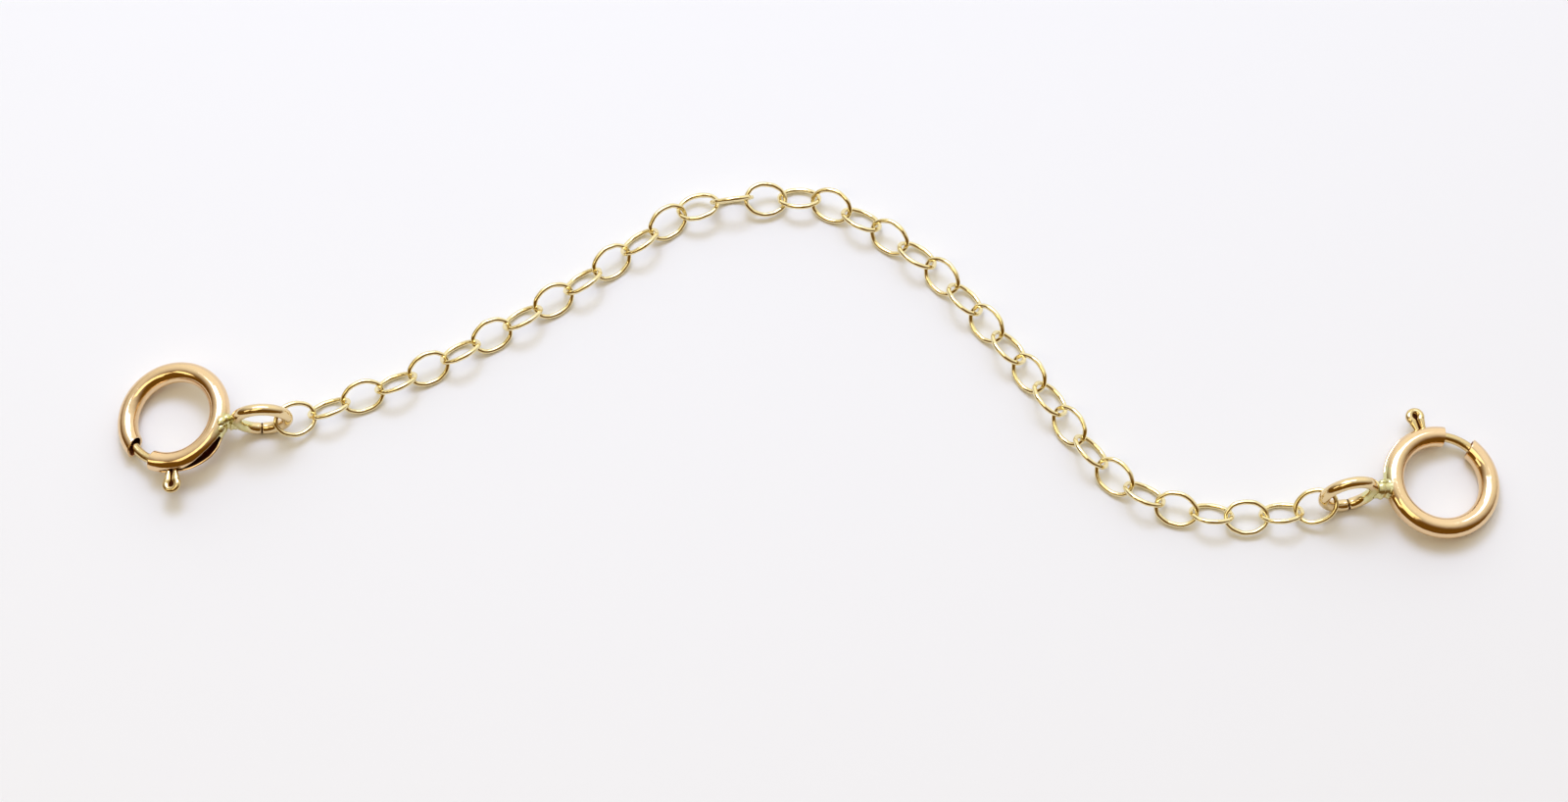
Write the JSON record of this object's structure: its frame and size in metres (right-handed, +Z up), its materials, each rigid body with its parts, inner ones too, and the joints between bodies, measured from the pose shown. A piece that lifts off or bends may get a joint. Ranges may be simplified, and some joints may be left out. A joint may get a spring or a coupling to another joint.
{
  "type": "safety chain",
  "caption": "Short safety chain of interlocked oval links with a spring ring clasp at each end, laid in an S on a table.",
  "frame": {"origin": "middle of the bounding box, on the table's surface", "axes": "+X along the chain's longest extent, from the clasp with the trigger towards the viewer to the other one; +Y away from the viewer; +Z up from the table"},
  "size_m": [0.0646, 0.018, 0.0029],
  "materials": {
    "case_gold": "polished",
    "wire_gold": "polished"
  },
  "bodies": {
    "root": {"left_case": "case_gold", "right_case": "case_gold", "link_01": "wire_gold", "link_02": "wire_gold", "link_03": "wire_gold", "link_04": "wire_gold", "link_05": "wire_gold", "link_06": "wire_gold", "link_07": "wire_gold", "link_08": "wire_gold", "link_09": "wire_gold", "link_10": "wire_gold", "link_11": "wire_gold", "link_12": "wire_gold", "link_13": "wire_gold", "link_14": "wire_gold", "link_15": "wire_gold", "link_16": "wire_gold", "link_17": "wire_gold", "link_18": "wire_gold", "link_19": "wire_gold", "link_20": "wire_gold", "link_21": "wire_gold", "link_22": "wire_gold", "link_23": "wire_gold", "link_24": "wire_gold", "link_25": "wire_gold", "link_26": "wire_gold", "link_27": "wire_gold", "link_28": "wire_gold", "link_29": "wire_gold", "link_30": "wire_gold", "link_31": "wire_gold", "link_32": "wire_gold", "link_33": "wire_gold", "link_34": "wire_gold", "link_35": "wire_gold", "link_36": "wire_gold"},
    "left_tongue": {"left_tongue": "wire_gold"},
    "right_tongue": {"right_tongue": "wire_gold"}
  },
  "joints": [
    {"name": "left_tongue_slide", "type": "hinge", "parent": "root", "child": "left_tongue", "pos_m": [-0.02957, -0.00312, 0.00095], "axis": [-0.2059, 0.0289, 0.9781], "range_deg": [0, 45], "stiffness_Nm_per_rad": 0.004},
    {"name": "right_tongue_slide", "type": "hinge", "parent": "root", "child": "right_tongue", "pos_m": [0.02953, -0.00626, 0.00072], "axis": [0.1026, 0.0199, 0.9945], "range_deg": [0, 45], "stiffness_Nm_per_rad": 0.004}
  ]
}
